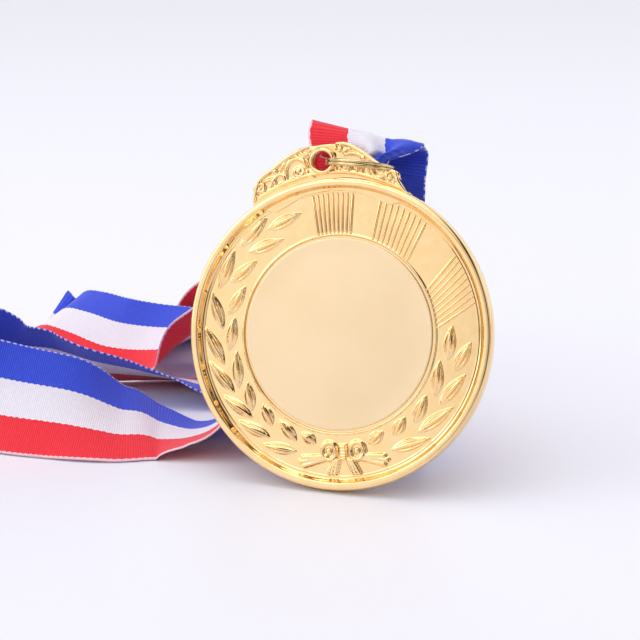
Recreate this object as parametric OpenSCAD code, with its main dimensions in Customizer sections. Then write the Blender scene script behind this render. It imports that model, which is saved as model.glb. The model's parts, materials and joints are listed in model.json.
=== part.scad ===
// Award medal leaning on its striped neck ribbon.
// The origin is the middle of the front plate's face; +Z is up and the medal looks along -Y.

/* [Disc] */
// Diameter of the disc
disc_d = 65; // [60:1:70]
// Thickness of the disc over its rims
disc_t = 4; // [3.6:0.1:5]
// Width of the polished flat ring on the rim
rim_flat = 1.2; // [0.8:0.1:2]
// Width of the slope inside the rim
rim_slope = 1.2; // [0.8:0.1:1.6]
// Depth of the polished field below the rim
field_depth = 1.3; // [1:0.1:1.4]

/* [Centre plates] */
// Diameter of the blank centre plates
plate_d = 40; // [38:1:41]
// Thickness of a centre plate
plate_t = 0.4; // [0.3:0.1:0.6]
// Thickness of an adhesive disc
adhesive_t = 0.1; // [0.1:0.05:0.2]
// Depth of the seat below the field
seat_depth = 0.4; // [0.3:0.1:0.5]
// Gap between a plate and the edge of its seat
seat_gap = 0.5; // [0.3:0.1:0.8]

/* [Relief] */
// Height of the leaves, rays and bow above the field
relief_h = 0.6; // [0.3:0.1:0.9]
// Length of a laurel leaf
leaf_l = 8; // [6:0.5:8.5]
// Width of a laurel leaf
leaf_w = 2.5; // [1.8:0.1:2.8]
// Number of raised rays in each of the three groups
ray_count = 9; // [5:1:9]
// Width of a ray
ray_w = 0.4; // [0.3:0.05:0.5]

/* [Crest and eyelet] */
// Thickness of the crest
crest_t = 3; // [2.5:0.1:3.2]
// Diameter of the eyelet's bore
eyelet_d = 3.9; // [3.8:0.1:4.4]
// Outer diameter of the eyelet's boss
boss_d = 5.7; // [5.6:0.1:6.2]

/* [Split ring] */
// Diameter of the ring, measured at the middle of its wire
ring_d = 13.8; // [13.5:0.1:14]
// Diameter of the ring's wire
wire_d = 0.75; // [0.6:0.05:0.8]

/* [Ribbon] */
// Width of the ribbon
ribbon_w = 25; // [24:0.5:26]
// Thickness of the ribbon
ribbon_t = 0.9; // [0.7:0.1:1]

/* [Stance] */
// How far the medal leans back on the ribbon, in degrees
lean = 14; // [12:1:16]
// How far the medal is rolled about its own axis, in degrees
roll = 7; // [5:1:9]

/* [Hidden] */
$fn = 96;

disc_r = disc_d / 2;
half_t = disc_t / 2;
bevel_w = 0.5;
bevel_h = 1;
field_z = half_t - field_depth;
field_r = disc_r - bevel_w - rim_flat - rim_slope;
seat_z = field_z - seat_depth;
seat_r = plate_d / 2 + seat_gap;
plate_z = seat_z + adhesive_t;
face_z = plate_z + plate_t;
stand_h = disc_r * cos(lean) + (half_t - bevel_h + face_z) * sin(lean);

// Laurel: the angle of each leaf's tip from the medal's top, and the shape of its two rows
left_outer = [30, 50, 70, 84, 99, 114, 128, 142];
left_inner = [28, 46, 61, 78, 96, 114, 129, 142, 156];
right_outer = [96, 110, 124, 140];
right_inner = [88, 106, 126, 142, 156];
outer_row = [28.4, 25.9];
inner_row = [22.6, 24.4];
leaf_arc = 16;

// Rays: first and last angle of each group on the outer circle, and the point they fan out from
ray_groups = [[-8, 9], [21, 42], [60, 80]];
ray_focus = -12;

// Crest: half outline from the left scroll over the peak to the right scroll
crest_outline = [[-17.5, 26], [-16.8, 31], [-15, 33], [-11, 35.6], [-6.6, 38.6], [-1.8, 39.4],
                 [2.5, 39.2], [6.4, 36.8], [10.5, 33.6], [14, 30.6], [16, 26]];
scrolls = [[-15.4, 31.4, 1.9], [13.6, 30.4, 1.5], [-9.5, 34.3, 1.5], [-6.4, 34.9, 1.6],
           [3.6, 34.6, 1.4], [7.4, 34.2, 1.2], [10.4, 32.9, 1.2]];
scroll_h = 0.5;
eyelet_pos = [-1.5, 36];

ring_pitch = 0.7;
ring_slope = -10;
ring_reach = 7.6;
ring_back = 1;

// Ribbon: centre point above the table, direction from the red edge to the blue edge, and how
// far it is gathered, from 0, flat, to 1, pleated into the ring
route = [
    [[0.8, 20, 63], [1, 0, -0.15], 0],
    [[1, 20.6, 68], [1, 0, -0.2], 0],
    [[1, 17.4, 71.2], [1, 0, -0.21], 0],
    [[1.3, 14.4, 69], [1, 0, -0.18], 0.2],
    [[1.7, 12.6, 66.2], [1, 0, -0.07], 1],
    [[1.7, 11.9, 63.4], [1, 0, -0.05], 1],
    [[1, 11.8, 59], [1, 0.1, 0], 0.85],
    [[-2, 12.5, 50], [0.9, 0.3, -0.2], 0.5],
    [[-8, 14, 38], [0.7, 0.5, -0.3], 0.2],
    [[-17, 15.5, 26.5], [0.5, 0.8, -0.4], 0],
    [[-24.5, 19, 13.5], [0.1, 0.9, -0.4], 0],
    [[-31.5, 13.5, 5.2], [-0.4, 0.87, -0.3], 0],
    [[-38, 11.5, 2.2], [-0.35, 0.93, -0.12], 0],
    [[-45.5, 9.5, 2.8], [-0.2, 0.95, 0.15], 0],
    [[-53, 5, 5.6], [-0.3, 0.85, 0.42], 0],
    [[-63, 1, 9.2], [-0.2, 0.65, 0.72], 0],
    [[-77, -1.5, 11.1], [-0.15, 0.48, 0.86], 0],
    [[-89, -1, 12.6], [0, 0.2, 1], 0],
    [[-99, 8, 12.6], [0, 0, 1], 0],
    [[-101, 22, 12], [0.05, -0.1, 1], 0],
    [[-94, 33, 10.2], [0.2, -0.55, 0.8], 0],
    [[-84, 37, 9.2], [0.1, -0.68, 0.73], 0],
    [[-74, 38, 7.5], [0.1, -0.8, 0.6], 0],
    [[-63, 41.5, 5.5], [0.1, -0.88, 0.45], 0],
    [[-52, 44.5, 3.6], [0.1, -0.95, 0.28], 0],
    [[-41, 47, 2.4], [0, -1, 0.05], 0],
    [[-31, 53, 2.5], [0, -1, -0.05], 0],
    [[-22, 51, 6], [0, -0.85, -0.5], 0],
    [[-14, 43, 11.8], [0, -0.3, -0.95], 0],
    [[-7, 34.5, 12.6], [0, -0.1, -1], 0],
    [[2, 27.1, 12.6], [0, 0, -1], 0]
];
return_route = [
    [[2, 25.8, 12.6], [0, 0, -1], 0],
    [[-9, 30, 12.6], [0, 0, -1], 0],
    [[-20, 40.5, 15.8], [0, 0.05, -1], 0],
    [[-34, 51, 18.5], [0, 0.3, -0.95], 0],
    [[-42, 54.5, 16], [0, 0.6, -0.8], 0],
    [[-51, 57, 12.5], [0, 0.85, -0.55], 0],
    [[-61, 61, 9.5], [-0.05, 0.94, 0.34], 0],
    [[-71, 63, 8], [0, 0.84, 0.54], 0],
    [[-81, 63, 8.4], [0.02, 0.8, 0.6], 0],
    [[-91, 65, 10.2], [0.15, 0.85, 0.5], 0],
    [[-99, 67, 10.7], [0.31, 0.88, 0.36], 0],
    [[-104, 70, 6.8], [0.3, 0.93, 0.15], 0],
    [[-99, 73, 2.4], [0.2, 0.97, 0.05], 0],
    [[-86, 76, 1.9], [0.05, 1, 0], 0],
    [[-72, 84, 3.2], [0, 1, -0.2], 0],
    [[-59, 84.5, 9.5], [0, 0.6, -0.8], 0],
    [[-46, 77, 15], [0.2, 0.4, -0.9], 0],
    [[-33, 65, 22.5], [0.4, 0.3, -0.8], 0],
    [[-21, 51, 33.5], [0.7, 0.2, -0.6], 0],
    [[-10, 34, 45], [0.9, 0.1, -0.3], 0],
    [[-1, 24, 55], [1, 0, -0.1], 0],
    [[0.8, 20, 63], [1, 0, -0.15], 0]
];
gather_w = 0.64;
gather_t = 2.3;
roll_pos = [2, 14];
roll_r = 13.3;

// Seam: rows and stitches of the thread on the lap seam, on the back of the rear rise
seam_at = 18.6;
seam_rows = 2;
seam_stitches = 8;
stitch_l = 1.8;
stitch_d = 0.3;

// ---- helpers ----

// Medal coordinates: X to the right, Y to the crest, Z out of the front
module medal_axes() {
    translate([0, face_z * cos(lean), -face_z * sin(lean)])
        rotate([90 - lean, 0, 0])
            rotate([0, 0, roll])
                children();
}

module on_table() {
    translate([0, face_z * cos(lean), -stand_h])
        children();
}

function spline(a, b, c, d, t) =
    ((2 * b) + (c - a) * t + (2 * a - 5 * b + 4 * c - d) * t * t
     + (3 * b - a - 3 * c + d) * t * t * t) / 2;
function node_of(path, i) = path[max(0, min(len(path) - 1, i))];
function value(path, s, k) =
    let (i = min(floor(s), len(path) - 2), t = s - i)
    spline(node_of(path, i - 1)[k], node_of(path, i)[k],
           node_of(path, i + 1)[k], node_of(path, i + 2)[k], t);
function unit(v) = v / norm(v);
function along(path, s) =
    unit(value(path, min(s + 0.02, len(path) - 1), 0) - value(path, max(s - 0.02, 0), 0));
function across(path, s) =
    let (t = along(path, s), w = value(path, s, 1))
    unit(w - t * (t * w));
function resting(p, w) =
    [p[0], p[1], max(p[2], (ribbon_w * abs(w[2]) + ribbon_t * sqrt(1 - w[2] * w[2])) / 2)];
function section(path, s) =
    let (w = across(path, s), p = resting(value(path, s, 0), w), n = cross(along(path, s), w),
         g = max(0, min(1, value(path, s, 2))),
         a = w * ribbon_w * (1 - gather_w * g) / 2,
         b = n * (ribbon_t + gather_t * g) / 2)
    [p - a - b, p + a - b, p + a + b, p - a + b];

// A length of ribbon between two places on its route, as one closed solid
module strand(path, from, to) {
    steps = round((to - from) * 3);
    rings = [for (k = [0:steps]) each section(path, from + (to - from) * k / steps)];
    sides = [for (i = [0:steps - 1], j = [0:3])
        let (a = 4 * i + j, b = 4 * i + (j + 1) % 4, c = b + 4, d = a + 4)
        each (j < 2 ? [[a, b, c], [a, c, d]] : [[a, b, d], [b, c, d]])];
    caps = [[3, 2, 1, 0], [for (j = [0:3]) 4 * steps + j]];
    on_table()
        polyhedron(rings, concat(sides, caps), convexity = 6);
}

module both_faces() {
    children();
    rotate([0, 180, 0])
        children();
}

// ---- medal casting ----

module disc_body() {
    rotate_extrude($fn = 180)
        polygon([[0, -seat_z], [seat_r, -seat_z], [seat_r, -field_z], [field_r, -field_z],
                 [field_r + rim_slope, -half_t], [disc_r - bevel_w, -half_t],
                 [disc_r, -half_t + bevel_h], [disc_r, half_t - bevel_h],
                 [disc_r - bevel_w, half_t], [field_r + rim_slope, half_t],
                 [field_r, field_z], [seat_r, field_z], [seat_r, seat_z], [0, seat_z]]);
}

// A pointed leaf lying along +Y, with its middle at the origin
module leaf(length, width) {
    bow_r = (length * length + width * width) / (4 * width);
    linear_extrude(relief_h + 0.2)
        intersection() {
            translate([bow_r - width / 2, 0])
                circle(bow_r);
            translate([width / 2 - bow_r, 0])
                circle(bow_r);
        }
}

function polar(r, a) = [r * sin(a), r * cos(a)];

module leaf_row(tips, row, side) {
    for (a = tips) {
        tip = polar(row[0], side * a);
        base = polar(row[1], side * (a + leaf_arc));
        run = tip - base;
        translate([(tip + base)[0] / 2, (tip + base)[1] / 2, field_z - 0.2])
            rotate([0, 0, -atan2(run[0], run[1])])
                leaf(leaf_l, leaf_w);
    }
}

module wreath() {
    leaf_row(left_outer, outer_row, -1);
    leaf_row(left_inner, inner_row, -1);
    leaf_row(right_outer, outer_row, 1);
    leaf_row(right_inner, inner_row, 1);
}

module rays() {
    for (group = ray_groups, k = [0:ray_count - 1]) {
        end = polar(field_r - 0.1, group[0] + (group[1] - group[0]) * k / (ray_count - 1));
        heading = atan2(end[0], end[1] - ray_focus);
        translate([end[0], end[1], field_z - 0.2])
            rotate([0, 0, -heading])
                translate([-ray_w / 2, -8.6, 0])
                    cube([ray_w, 8.6, relief_h]);
    }
}

module bow() {
    translate([0, -25, field_z - 0.2]) {
        translate([-0.8, -1.8, 0])
            cube([1.6, 3.6, relief_h + 0.6]);
        for (side = [-1, 1])
            union() {
                translate([side * 2.6, 0.4, 0])
                    cylinder(d = 3.8, h = relief_h + 0.4);
                rotate([0, 0, side * 28])
                    translate([-0.9, -4.4, 0])
                        cube([1.8, 4, relief_h + 0.1]);
                rotate([0, 0, side * 68])
                    translate([-0.9, -9.5, 0])
                        cube([1.8, 8, relief_h + 0.1]);
            }
    }
}

module crest() {
    translate([0, 0, -crest_t / 2]) {
        linear_extrude(crest_t)
            polygon(crest_outline);
        for (s = scrolls)
            translate([s[0], s[1], -scroll_h])
                difference() {
                    cylinder(r = s[2], h = crest_t + 2 * scroll_h);
                    translate([0, 0, -0.1])
                        cylinder(r = s[2] - 0.7, h = scroll_h + 0.1);
                    translate([0, 0, crest_t + scroll_h])
                        cylinder(r = s[2] - 0.7, h = scroll_h + 0.1);
                }
        translate([eyelet_pos[0], eyelet_pos[1], 0])
            cylinder(d = boss_d, h = crest_t);
    }
}

module medal_casting() {
    color("gold")
        medal_axes()
            difference() {
                union() {
                    disc_body();
                    crest();
                    both_faces() {
                        wreath();
                        rays();
                        bow();
                    }
                }
                translate([eyelet_pos[0], eyelet_pos[1], -disc_t])
                    cylinder(d = eyelet_d, h = 2 * disc_t);
            }
}

// ---- centre plates ----

module plate_disc(z, t) {
    translate([0, 0, z])
        cylinder(d = plate_d, h = t, $fn = 120);
}

module front_plate() {
    color("wheat")
        medal_axes()
            plate_disc(plate_z, plate_t);
}

module front_adhesive() {
    color("whitesmoke")
        medal_axes()
            plate_disc(seat_z, adhesive_t);
}

module rear_plate() {
    color("wheat")
        medal_axes()
            plate_disc(-face_z, plate_t);
}

module rear_adhesive() {
    color("whitesmoke")
        medal_axes()
            plate_disc(-plate_z, adhesive_t);
}

// ---- split ring ----

module split_ring() {
    color("darkgoldenrod")
        medal_axes()
            translate([eyelet_pos[0], eyelet_pos[1], -ring_back])
                rotate([0, 0, ring_slope])
                    translate([ring_reach, 0, 0])
                        rotate([90, 0, 0])
                            rotate_extrude()
                                for (side = [-1, 1])
                                    translate([ring_d / 2, side * ring_pitch / 2])
                                        circle(d = wire_d, $fn = 24);
}

// ---- ribbon ----

module ribbon_loop() {
    color("royalblue")
        strand(route, 0, 5.2);
}

module ribbon_front_fall() {
    color("white")
        strand(route, 5.6, 12);
}

module ribbon_near_run() {
    color("crimson")
        strand(route, 12, 17);
}

module ribbon_outer_turn() {
    color("royalblue")
        strand(route, 17, 20);
}

module ribbon_middle_run() {
    color("white")
        strand(route, 20, 29.2);
}

module ribbon_roll() {
    color("crimson")
        on_table()
            translate([roll_pos[0], roll_pos[1], 0.1])
                cylinder(r = roll_r, h = ribbon_w);
}

module ribbon_far_run() {
    color("royalblue")
        strand(return_route, 0.7, 9);
}

module ribbon_far_turn() {
    color("white")
        strand(return_route, 9, 14);
}

module ribbon_rear_rise() {
    color("crimson")
        strand(return_route, 14, 20.7);
}

module seam_thread() {
    p = value(return_route, seam_at, 0);
    t = along(return_route, seam_at);
    w = across(return_route, seam_at);
    n = cross(t, w);
    color("ivory")
        on_table()
            multmatrix([[w[0], t[0], -n[0], p[0]],
                        [w[1], t[1], -n[1], p[1]],
                        [w[2], t[2], -n[2], p[2]],
                        [0, 0, 0, 1]])
                for (row = [0:seam_rows - 1], k = [0:seam_stitches - 1])
                    translate([(k - (seam_stitches - 1) / 2) * 2.8, row * 6 - 3, ribbon_t / 2 + 0.3])
                        rotate([0, 90, 0])
                            cylinder(d = stitch_d, h = stitch_l, center = true, $fn = 16);
}

medal_casting();
front_plate();
front_adhesive();
rear_plate();
rear_adhesive();
split_ring();
ribbon_loop();
ribbon_front_fall();
ribbon_near_run();
ribbon_outer_turn();
ribbon_middle_run();
ribbon_roll();
ribbon_far_run();
ribbon_far_turn();
ribbon_rear_rise();
seam_thread();
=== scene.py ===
"""An award medal that leans on its own striped neck ribbon.

The CAD frame gives every place and size. The casting is a turned disc that carries the leaves and
the bow as relief, with ribs for the rays and a fused scrollwork crest. The ribbon is one long strip
swept along its real route.
"""

import json
import math

import bmesh
import bpy
import numpy as np
from mathutils import Matrix, Vector

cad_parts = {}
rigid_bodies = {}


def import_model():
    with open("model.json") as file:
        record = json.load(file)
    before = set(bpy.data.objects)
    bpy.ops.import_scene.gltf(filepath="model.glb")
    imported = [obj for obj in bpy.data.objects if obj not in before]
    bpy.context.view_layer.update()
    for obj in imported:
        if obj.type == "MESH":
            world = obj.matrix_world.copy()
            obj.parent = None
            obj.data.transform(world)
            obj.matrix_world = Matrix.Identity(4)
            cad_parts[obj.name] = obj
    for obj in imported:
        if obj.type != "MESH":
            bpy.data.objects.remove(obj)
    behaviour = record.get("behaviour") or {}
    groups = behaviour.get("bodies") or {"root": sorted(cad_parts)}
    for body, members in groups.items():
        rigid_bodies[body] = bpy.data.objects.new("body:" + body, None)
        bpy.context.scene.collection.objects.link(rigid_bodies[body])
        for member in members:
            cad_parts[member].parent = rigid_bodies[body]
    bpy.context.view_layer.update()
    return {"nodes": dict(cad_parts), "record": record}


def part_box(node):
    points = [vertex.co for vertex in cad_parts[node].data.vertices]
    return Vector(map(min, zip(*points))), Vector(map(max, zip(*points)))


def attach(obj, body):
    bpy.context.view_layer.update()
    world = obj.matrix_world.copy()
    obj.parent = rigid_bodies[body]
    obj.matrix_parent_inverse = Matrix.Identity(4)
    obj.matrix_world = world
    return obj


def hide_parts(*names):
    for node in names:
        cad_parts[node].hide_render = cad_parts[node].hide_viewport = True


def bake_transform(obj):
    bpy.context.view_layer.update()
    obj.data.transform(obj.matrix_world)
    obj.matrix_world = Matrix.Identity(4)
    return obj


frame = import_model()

MM = 0.001
TAU = 2 * math.pi

# ---- places and sizes, from the frame ----

MOUNTS = {m["name"]: m for m in frame["record"]["mounts"]}
LOOK = Vector(MOUNTS["front_plate_face"]["axis"])            # out of the medal's front
LEAN = math.asin(LOOK.z)
ROLL = math.radians(7)
FACE_Z = 0.8 * MM                                            # plate face above the disc's mid-plane
DISC_MID = -LOOK * FACE_Z
TABLE_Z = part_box("medal_casting")[0].z

DISC_R = 32.5 * MM
HALF_T = 2 * MM
BEVEL_W, BEVEL_H = 0.5 * MM, 1 * MM
RIM_FLAT, RIM_SLOPE = 1.2 * MM, 1.2 * MM
FIELD_Z = 0.7 * MM
FIELD_R = DISC_R - BEVEL_W - RIM_FLAT - RIM_SLOPE
SEAT_Z, SEAT_R = 0.3 * MM, 20.5 * MM
PLATE_R = 20 * MM
EYELET = (-1.5, 36)                                          # medal coordinates, mm
BORE_R, BOSS_R = 1.95, 2.85

RIBBON_W = 25 * MM
RIBBON_T = 0.42 * MM
CAD_RIBBON_T = 0.9 * MM
RIBBON_LENGTH = 800 * MM
LAP = 12 * MM


def medal_matrix():
    """Medal coordinates (X right, Y to the crest, Z out of the front) to the row frame."""
    return (Matrix.Translation(DISC_MID)
            @ Matrix.Rotation(math.pi / 2 - LEAN, 4, "X")
            @ Matrix.Rotation(ROLL, 4, "Z"))


MEDAL = medal_matrix()


# ---- small helpers ----

def smooth(x):
    x = np.clip(x, 0, 1)
    return x * x * (3 - 2 * x)


def mesh_object(name, points, faces, flat=False):
    mesh = bpy.data.meshes.new(name)
    mesh.from_pydata([tuple(p) for p in points], [], [tuple(f) for f in faces])
    mesh.validate()
    mesh.update()
    if not flat:
        mesh.polygons.foreach_set("use_smooth", [True] * len(mesh.polygons))
    thing = bpy.data.objects.new(name, mesh)
    bpy.context.scene.collection.objects.link(thing)
    return thing


def grid_faces(rows, columns, flip=False):
    """Quads between consecutive closed rows of points, as an array of indices."""
    i, j = np.meshgrid(np.arange(rows - 1), np.arange(columns), indexing="ij")
    k = (j + 1) % columns
    a, b, c, d = i * columns + j, i * columns + k, (i + 1) * columns + k, (i + 1) * columns + j
    return np.stack([a, d, c, b] if flip else [a, b, c, d], -1).reshape(-1, 4)


def tube(path, radii, sides=10, squash=1.0):
    """Points and faces of a closed tube through path; squash is its height over its width."""
    path = [Vector(p) for p in path]
    points, faces = [], []
    for i, p in enumerate(path):
        ahead = (path[min(i + 1, len(path) - 1)] - path[max(i - 1, 0)]).normalized()
        side = Vector((0, 0, 1)).cross(ahead).normalized()
        up = ahead.cross(side)
        for k in range(sides):
            a = TAU * k / sides
            points.append(p + (side * math.cos(a) + up * math.sin(a) * squash) * radii[i])
    for i in range(len(path) - 1):
        for k in range(sides):
            m = (k + 1) % sides
            faces.append((i * sides + k, (i + 1) * sides + k, (i + 1) * sides + m, i * sides + m))
    faces.append(tuple(range(sides)))
    faces.append(tuple(reversed(range((len(path) - 1) * sides, len(path) * sides))))
    return points, faces


def curve_through(points, steps=8):
    """Smooth points through a short list, by a uniform Catmull-Rom curve."""
    points = [np.array(p, float) for p in points]
    result = []
    for i in range(len(points) - 1):
        a, b = points[max(i - 1, 0)], points[i]
        c, d = points[i + 1], points[min(i + 2, len(points) - 1)]
        for k in range(steps):
            t = k / steps
            result.append(((2 * b) + (c - a) * t + (2 * a - 5 * b + 4 * c - d) * t * t
                           + (3 * b - a - 3 * c + d) * t ** 3) / 2)
    return result + [points[-1]]


def join(name, things):
    for thing in bpy.data.objects:
        thing.select_set(False)
    for thing in things:
        thing.select_set(True)
    bpy.context.view_layer.objects.active = things[0]
    bpy.ops.object.join()
    things[0].name = name
    return things[0]


def apply_modifiers(thing):
    graph = bpy.context.evaluated_depsgraph_get()
    mesh = bpy.data.meshes.new_from_object(thing.evaluated_get(graph))
    thing.modifiers.clear()
    thing.data = mesh
    return thing


def shade_smooth(thing):
    thing.data.polygons.foreach_set("use_smooth", [True] * len(thing.data.polygons))
    return thing


# ---- camera ----

VIEW_AZIMUTH, VIEW_ELEVATION = math.radians(17), math.radians(15)
VIEW_DISTANCE = 322                                          # mm, as the three below
DISC_CENTRE_HEIGHT = 31.9
AIM_LEFT, AIM_UP = 3.95, 2.8
LENS = 87.2


def add_camera():
    azimuth, elevation = VIEW_AZIMUTH, VIEW_ELEVATION
    back = Vector((math.sin(azimuth) * math.cos(elevation),
                   -math.cos(azimuth) * math.cos(elevation), math.sin(elevation)))
    right = Vector((math.cos(azimuth), math.sin(azimuth), 0))
    up = back.cross(right)
    aim = Vector((0, FACE_Z, TABLE_Z + DISC_CENTRE_HEIGHT * MM)) - right * AIM_LEFT * MM + up * AIM_UP * MM
    data = bpy.data.cameras.new("camera")
    data.lens = LENS
    data.clip_start, data.clip_end = 0.01, 20
    camera = bpy.data.objects.new("camera", data)
    camera.location = aim + back * VIEW_DISTANCE * MM
    camera.rotation_euler = back.to_track_quat("Z", "Y").to_euler()
    bpy.context.scene.collection.objects.link(camera)
    bpy.context.scene.camera = camera


# ---- node material helpers ----

class Nodes:
    """A short way to write a material's nodes."""

    def __init__(self, name):
        self.material = bpy.data.materials.new(name)
        self.material.use_nodes = True
        self.tree = self.material.node_tree
        self.shader = self.tree.nodes["Principled BSDF"]

    def set(self, **values):
        for name, value in values.items():
            self.shader.inputs[name.replace("_", " ")].default_value = value

    def add(self, kind, **inputs):
        node = self.tree.nodes.new("ShaderNode" + kind)
        for name, value in inputs.items():
            self.put(node.inputs[name.replace("_", " ")], value)
        return node

    def put(self, socket, value):
        if isinstance(value, bpy.types.NodeSocket):
            self.tree.links.new(value, socket)
        else:
            socket.default_value = value

    def math(self, operation, a, b=0.0, c=0.0):
        node = self.tree.nodes.new("ShaderNodeMath")
        node.operation = operation
        for socket, value in zip(node.inputs, (a, b, c)):
            self.put(socket, value)
        return node.outputs[0]

    def mix(self, factor, a, b):
        node = self.tree.nodes.new("ShaderNodeMix")
        node.data_type = "RGBA"
        self.put(node.inputs[0], factor)
        self.put(node.inputs[6], a)
        self.put(node.inputs[7], b)
        return node.outputs[2]

    def range(self, value, low, high, to_low=0.0, to_high=1.0):
        node = self.tree.nodes.new("ShaderNodeMapRange")
        for socket, number in zip(node.inputs, (value, low, high, to_low, to_high)):
            self.put(socket, number)
        return node.outputs[0]

    def noise(self, scale, detail=3.0, vector=None, roughness=0.5):
        node = self.add("TexNoise", Scale=scale, Detail=detail, Roughness=roughness)
        self.put(node.inputs["Vector"], vector or self.position())
        return node.outputs["Fac"]

    def position(self):
        return self.add("TexCoord").outputs["Object"]

    def stretched(self, scale):
        node = self.tree.nodes.new("ShaderNodeMapping")
        self.put(node.inputs["Vector"], self.position())
        node.inputs["Scale"].default_value = scale
        return node.outputs[0]

    def bump(self, height, distance, strength=1.0, normal=None):
        node = self.add("Bump", Height=height, Distance=distance, Strength=strength)
        if normal is not None:
            self.put(node.inputs["Normal"], normal)
        return node.outputs["Normal"]

    def link(self, socket, name):
        self.tree.links.new(socket, self.shader.inputs[name])


def gold_material():
    """Mirror-bright gold plating with faint polishing haze and handling marks."""
    n = Nodes("gold_plating")
    n.set(Metallic=1.0, Roughness=0.06)
    haze = n.noise(420, 5, roughness=0.6)
    marks = n.noise(1, 2, vector=n.stretched((900, 9000, 900)))
    tone = n.mix(n.range(haze, 0.35, 0.65), (0.93, 0.65, 0.31, 1), (0.96, 0.70, 0.37, 1))
    n.link(tone, "Base Color")
    n.link(n.range(haze, 0.3, 0.75, 0.05, 0.12), "Roughness")
    cast = n.noise(260, 2)
    first = n.bump(cast, 0.00004, 0.35)
    n.link(n.bump(marks, 0.000002, 0.3, first), "Normal")
    return n.material


def satin_material():
    """The blank centre plate: fine satin gold."""
    n = Nodes("satin_plate")
    n.set(Metallic=1.0, Roughness=0.36)
    cloud = n.noise(55, 3)
    grain = n.noise(9000, 2)
    tone = n.mix(n.range(cloud, 0.3, 0.7), (0.86, 0.66, 0.40, 1), (0.90, 0.71, 0.46, 1))
    n.link(tone, "Base Color")
    n.link(n.range(cloud, 0.3, 0.7, 0.33, 0.4), "Roughness")
    n.link(n.bump(grain, 0.000004, 0.5), "Normal")
    return n.material


def film_material():
    n = Nodes("adhesive_film")
    n.set(Roughness=0.45)
    cloud = n.noise(300, 3)
    n.link(n.mix(cloud, (0.80, 0.79, 0.74, 1), (0.88, 0.87, 0.83, 1)), "Base Color")
    n.link(n.bump(cloud, 0.00002, 0.4), "Normal")
    return n.material


def wire_material():
    """Drawn wire with slightly aged plating: fine marks run along it."""
    n = Nodes("ring_wire")
    n.set(Metallic=1.0, Roughness=0.2)
    age = n.noise(700, 4)
    fine = n.noise(5000, 2)
    tone = n.mix(n.range(age, 0.35, 0.7), (0.56, 0.42, 0.20, 1), (0.80, 0.63, 0.34, 1))
    n.link(tone, "Base Color")
    n.link(n.range(age, 0.3, 0.7, 0.14, 0.3), "Roughness")
    n.link(n.bump(fine, 0.00001, 0.4), "Normal")
    return n.material


# The darker second colour of each stripe is painted shade in the grooves between the ribs, and also the
# darker random patches of tone
RED, RED_SHADE_AND_DEEP = (0.95, 0.018, 0.040, 1), (0.72, 0.008, 0.022, 1)
BLUE, BLUE_SHADE_AND_DEEP = (0.026, 0.080, 0.80, 1), (0.016, 0.038, 0.48, 1)
WHITE, WHITE_SHADE_AND_DEEP = (0.88, 0.86, 0.93, 1), (0.74, 0.70, 0.82, 1)


def ribbon_material():
    """Ribbed woven ribbon: weave coordinates are metres along it and metres from its red edge."""
    n = Nodes("ribbon_weave")
    n.set(Roughness=0.78, **{"Sheen_Weight": 0.25, "Sheen_Roughness": 0.5})
    weave = n.add("Attribute")
    weave.attribute_name = "weave"
    parts = n.add("SeparateXYZ", Vector=weave.outputs["Vector"])
    along, width = parts.outputs["X"], parts.outputs["Y"]
    wave = n.math("SINE", n.math("MULTIPLY", along, TAU / (0.48 * MM)))
    rib = n.range(wave, -1.0, 1.0)
    warp = n.range(n.math("SINE", n.math("MULTIPLY", width, TAU / (0.17 * MM))), -1.0, 1.0)
    patch = n.noise(900, 3, vector=weave.outputs["Vector"])

    # the stripes meet in small scallops, because the weft wraps the warp in groups
    scallop = n.math("PINGPONG", along, 0.7 * MM)
    edge = n.math("ADD", n.math("MULTIPLY", scallop, 0.3),
                  n.math("MULTIPLY", n.math("SUBTRACT", patch, 0.5), 0.25 * MM))
    shifted = n.math("ADD", width, edge)
    third = RIBBON_W / 3
    blue_part = n.range(shifted, 2 * third, 2 * third + 0.1 * MM)
    white_part = n.range(shifted, third + 0.15 * MM, third + 0.25 * MM)
    # depth darkens the colour in the valleys of the ribs (painted shade in the grooves) and in random
    # patches of tone
    depth = n.range(n.math("ADD", n.math("MULTIPLY", rib, 0.7), n.math("MULTIPLY", patch, 0.6)),
                    0.15, 0.95)
    red = n.mix(depth, RED_SHADE_AND_DEEP, RED)
    white = n.mix(depth, WHITE_SHADE_AND_DEEP, WHITE)
    blue = n.mix(depth, BLUE_SHADE_AND_DEEP, BLUE)
    colour = n.mix(blue_part, n.mix(white_part, red, white), blue)

    # selvedges: pale loops on the red edge, and short pale dashes on the blue one
    loops = n.math("MULTIPLY", n.math("PINGPONG", along, 0.6 * MM), 0.28)
    red_edge = n.range(n.math("ADD", width, loops), 0.62 * MM, 0.45 * MM)
    colour = n.mix(red_edge, colour, (0.93, 0.62, 0.70, 1))
    dash = n.math("GREATER_THAN", n.math("PINGPONG", along, 0.7 * MM), 0.35 * MM)
    blue_edge = n.range(width, RIBBON_W - 0.34 * MM, RIBBON_W - 0.2 * MM)
    colour = n.mix(n.math("MULTIPLY", n.math("MULTIPLY", dash, blue_edge), 0.75), colour,
                   (0.80, 0.78, 0.92, 1))
    n.link(colour, "Base Color")
    height = n.math("ADD", rib, n.math("MULTIPLY", warp, 0.3))
    n.link(n.bump(height, 0.00008, 0.55), "Normal")
    n.link(n.range(depth, 0.0, 1.0, 0.9, 0.7), "Roughness")
    return n.material


def thread_material():
    n = Nodes("sewing_thread")
    n.set(Roughness=0.7, **{"Sheen_Weight": 0.2})
    twist = n.math("SINE", n.noise(2500, 2))
    n.link(n.mix(n.range(twist, 0.3, 0.6), (0.70, 0.69, 0.78, 1), (0.90, 0.89, 0.94, 1)), "Base Color")
    n.link(n.bump(twist, 0.00003, 0.6), "Normal")
    return n.material


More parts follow.
